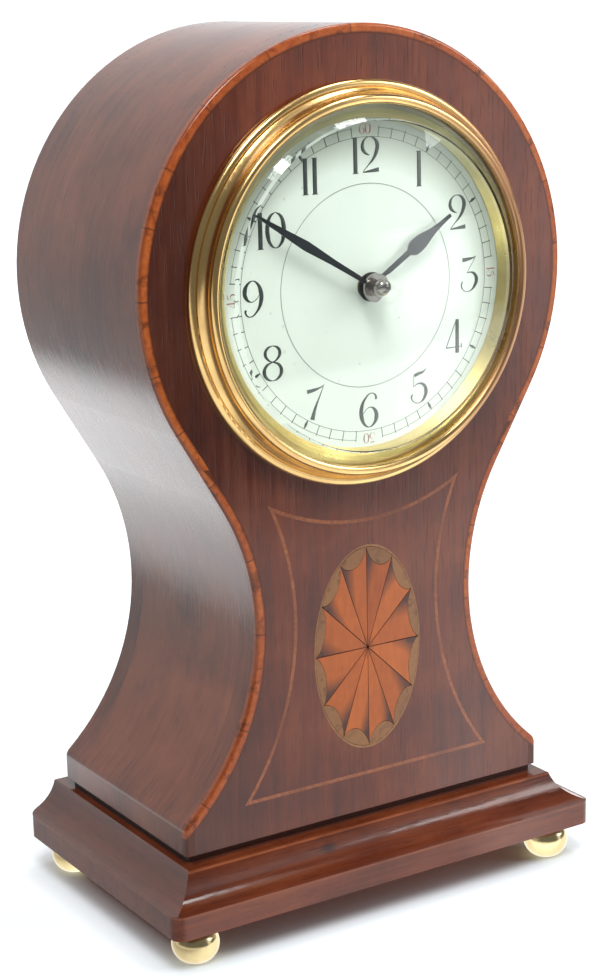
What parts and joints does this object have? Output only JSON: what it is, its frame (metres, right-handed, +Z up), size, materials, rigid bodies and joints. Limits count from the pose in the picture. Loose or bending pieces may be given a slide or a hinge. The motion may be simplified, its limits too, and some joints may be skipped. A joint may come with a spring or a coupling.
{
  "type": "balloon mantel clock",
  "caption": "Balloon-shaped inlaid mahogany mantel clock with a brass bezel, domed glass, enamel dial, rear-wound spring movement, hinged rear door and ball feet.",
  "frame": {"origin": "on the floor under the middle of the plinth, midway between its front and back faces", "axes": "+X to the right as seen from the front, +Y from the front to the back, +Z up"},
  "size_m": [0.1404, 0.0894, 0.2435],
  "materials": {
    "mahogany_front": "polished dark red-brown mahogany veneer with an upright grain",
    "mahogany_side": "polished mahogany, glossy, the grain running around the case",
    "mahogany_plinth": "polished mahogany moulding",
    "inner_wood": "plain unpolished wood",
    "dark_wood": "dark stained wood",
    "string_wood": "polished stringing of pale wood toned orange-brown",
    "border_wood": "polished tan line of inlay",
    "scallop_wood": "polished greenish tan veneer",
    "flute_wood": "polished orange satinwood with sand-shaded edges",
    "polished_brass": "polished and lacquered brass",
    "pale_brass": "pale polished brass",
    "brass": "grained brass of the movement",
    "steel": "bright steel",
    "dark_steel": "dark polished steel",
    "blued_steel": "dark blued steel",
    "spring_steel": "blued spring steel",
    "enamel": "white enamel on copper, glossy",
    "glass": "clear glass with a ground bevel"
  },
  "bodies": {
    "case_body": {"front_panel": "mahogany_front", "case_sides": "mahogany_side", "back_panel": "mahogany_side", "bottom_board": "inner_wood", "neck_board": "dark_wood", "plinth_core": "inner_wood", "plinth_slab": "mahogany_plinth", "plinth_front_moulding": "mahogany_plinth", "plinth_left_moulding": "mahogany_plinth", "plinth_right_moulding": "mahogany_plinth", "foot_front_left": "pale_brass", "foot_front_right": "pale_brass", "foot_back_left": "pale_brass", "foot_back_right": "pale_brass", "wood_screws": "steel", "edge_string": "string_wood", "panel_string": "string_wood", "medallion_border": "border_wood", "medallion_scallops": "scallop_wood", "medallion_flutes": "flute_wood", "bezel": "polished_brass", "bezel_pins": "brass", "bezel_glass": "glass", "sight_ring": "polished_brass", "dial": "enamel", "dial_plate": "brass", "front_plate": "brass", "back_plate": "brass", "pillars": "brass", "movement_posts": "brass", "movement_screws": "blued_steel", "click_spring": "spring_steel", "platform": "brass", "escape_cock": "brass", "balance_cock": "brass", "case_straps": "brass", "rear_ring": "polished_brass", "door_pin": "steel"},
    "minute_body": {"minute_hand": "blued_steel", "hand_nut": "dark_steel", "cannon_pinion": "steel", "centre_arbor": "steel"},
    "motion_body": {"minute_wheel": "brass"},
    "hour_body": {"hour_wheel": "brass", "hour_hand": "blued_steel"},
    "centre_body": {"centre_wheel": "brass"},
    "intermediate_body": {"intermediate_wheel": "brass"},
    "barrel_body": {"barrel": "brass", "barrel_cover": "brass", "mainspring": "spring_steel"},
    "winding_body": {"barrel_arbor": "steel", "ratchet_wheel": "steel"},
    "click_body": {"click": "steel"},
    "third_body": {"third_wheel": "brass"},
    "fourth_body": {"fourth_wheel": "brass"},
    "escape_body": {"escape_wheel": "steel"},
    "balance_body": {"balance": "brass", "hairspring": "spring_steel"},
    "index_body": {"regulator_index": "steel"},
    "door_body": {"rear_door": "polished_brass"}
  },
  "joints": [
    {"name": "minute_hand_turn", "type": "hinge", "parent": "case_body", "child": "minute_body", "pos_m": [0, -0.03, 0.1756], "axis": [0, 1, 0], "continuous": true},
    {"name": "minute_wheel_turn", "type": "hinge", "parent": "case_body", "child": "motion_body", "pos_m": [0.0072, -0.026, 0.1756], "axis": [0, 1, 0], "continuous": true},
    {"name": "hour_hand_turn", "type": "hinge", "parent": "case_body", "child": "hour_body", "pos_m": [0, -0.03, 0.1756], "axis": [0, 1, 0], "continuous": true},
    {"name": "fourth_wheel_turn", "type": "hinge", "parent": "case_body", "child": "fourth_body", "pos_m": [0.0063, 0, 0.18975], "axis": [0, 1, 0], "continuous": true},
    {"name": "third_wheel_turn", "type": "hinge", "parent": "case_body", "child": "third_body", "pos_m": [0.00979, 0, 0.18016], "axis": [0, 1, 0], "continuous": true},
    {"name": "centre_wheel_turn", "type": "hinge", "parent": "case_body", "child": "centre_body", "pos_m": [0, 0, 0.1756], "axis": [0, 1, 0], "continuous": true},
    {"name": "intermediate_wheel_turn", "type": "hinge", "parent": "case_body", "child": "intermediate_body", "pos_m": [0.00055, 0, 0.16481], "axis": [0, 1, 0], "continuous": true},
    {"name": "barrel_turn", "type": "hinge", "parent": "case_body", "child": "barrel_body", "pos_m": [-0.01523, 0, 0.1685], "axis": [0, 1, 0], "continuous": true},
    {"name": "escape_wheel_turn", "type": "hinge", "parent": "case_body", "child": "escape_body", "pos_m": [-0.00227, 0, 0.1947], "axis": [0, 1, 0], "continuous": true},
    {"name": "winding_turn", "type": "hinge", "parent": "case_body", "child": "winding_body", "pos_m": [-0.01523, 0, 0.1685], "axis": [0, 1, 0], "continuous": true},
    {"name": "click_lift", "type": "hinge", "parent": "case_body", "child": "click_body", "pos_m": [-0.01048, 0.006, 0.16027], "axis": [0, -1, 0], "range_deg": [0, 10], "stiffness_Nm_per_rad": 0.0002, "springref_deg": -11.46},
    {"name": "balance_swing", "type": "hinge", "parent": "case_body", "child": "balance_body", "pos_m": [-0.0065, 0.01, 0.19316], "axis": [0, 1, 0], "range_deg": [-135, 135], "stiffness_Nm_per_rad": 0.0000025},
    {"name": "regulator_turn", "type": "hinge", "parent": "case_body", "child": "index_body", "pos_m": [-0.0065, 0.016, 0.19316], "axis": [0, 1, 0], "range_deg": [-20, 20]},
    {"name": "rear_door_hinge", "type": "hinge", "parent": "case_body", "child": "door_body", "pos_m": [0.0439, 0.0409, 0.1756], "axis": [0, 0, -1], "range_deg": [0, 110]}
  ],
  "couplings": [
    {"joint": "minute_wheel_turn", "follows": "minute_hand_turn", "ratio": -0.33333},
    {"joint": "hour_hand_turn", "follows": "minute_hand_turn", "ratio": 0.083333},
    {"joint": "third_wheel_turn", "follows": "fourth_wheel_turn", "ratio": -0.13333},
    {"joint": "centre_wheel_turn", "follows": "fourth_wheel_turn", "ratio": 0.016667},
    {"joint": "intermediate_wheel_turn", "follows": "fourth_wheel_turn", "ratio": -0.0020833},
    {"joint": "barrel_turn", "follows": "fourth_wheel_turn", "ratio": 0.00026042},
    {"joint": "escape_wheel_turn", "follows": "fourth_wheel_turn", "ratio": -10}
  ]
}
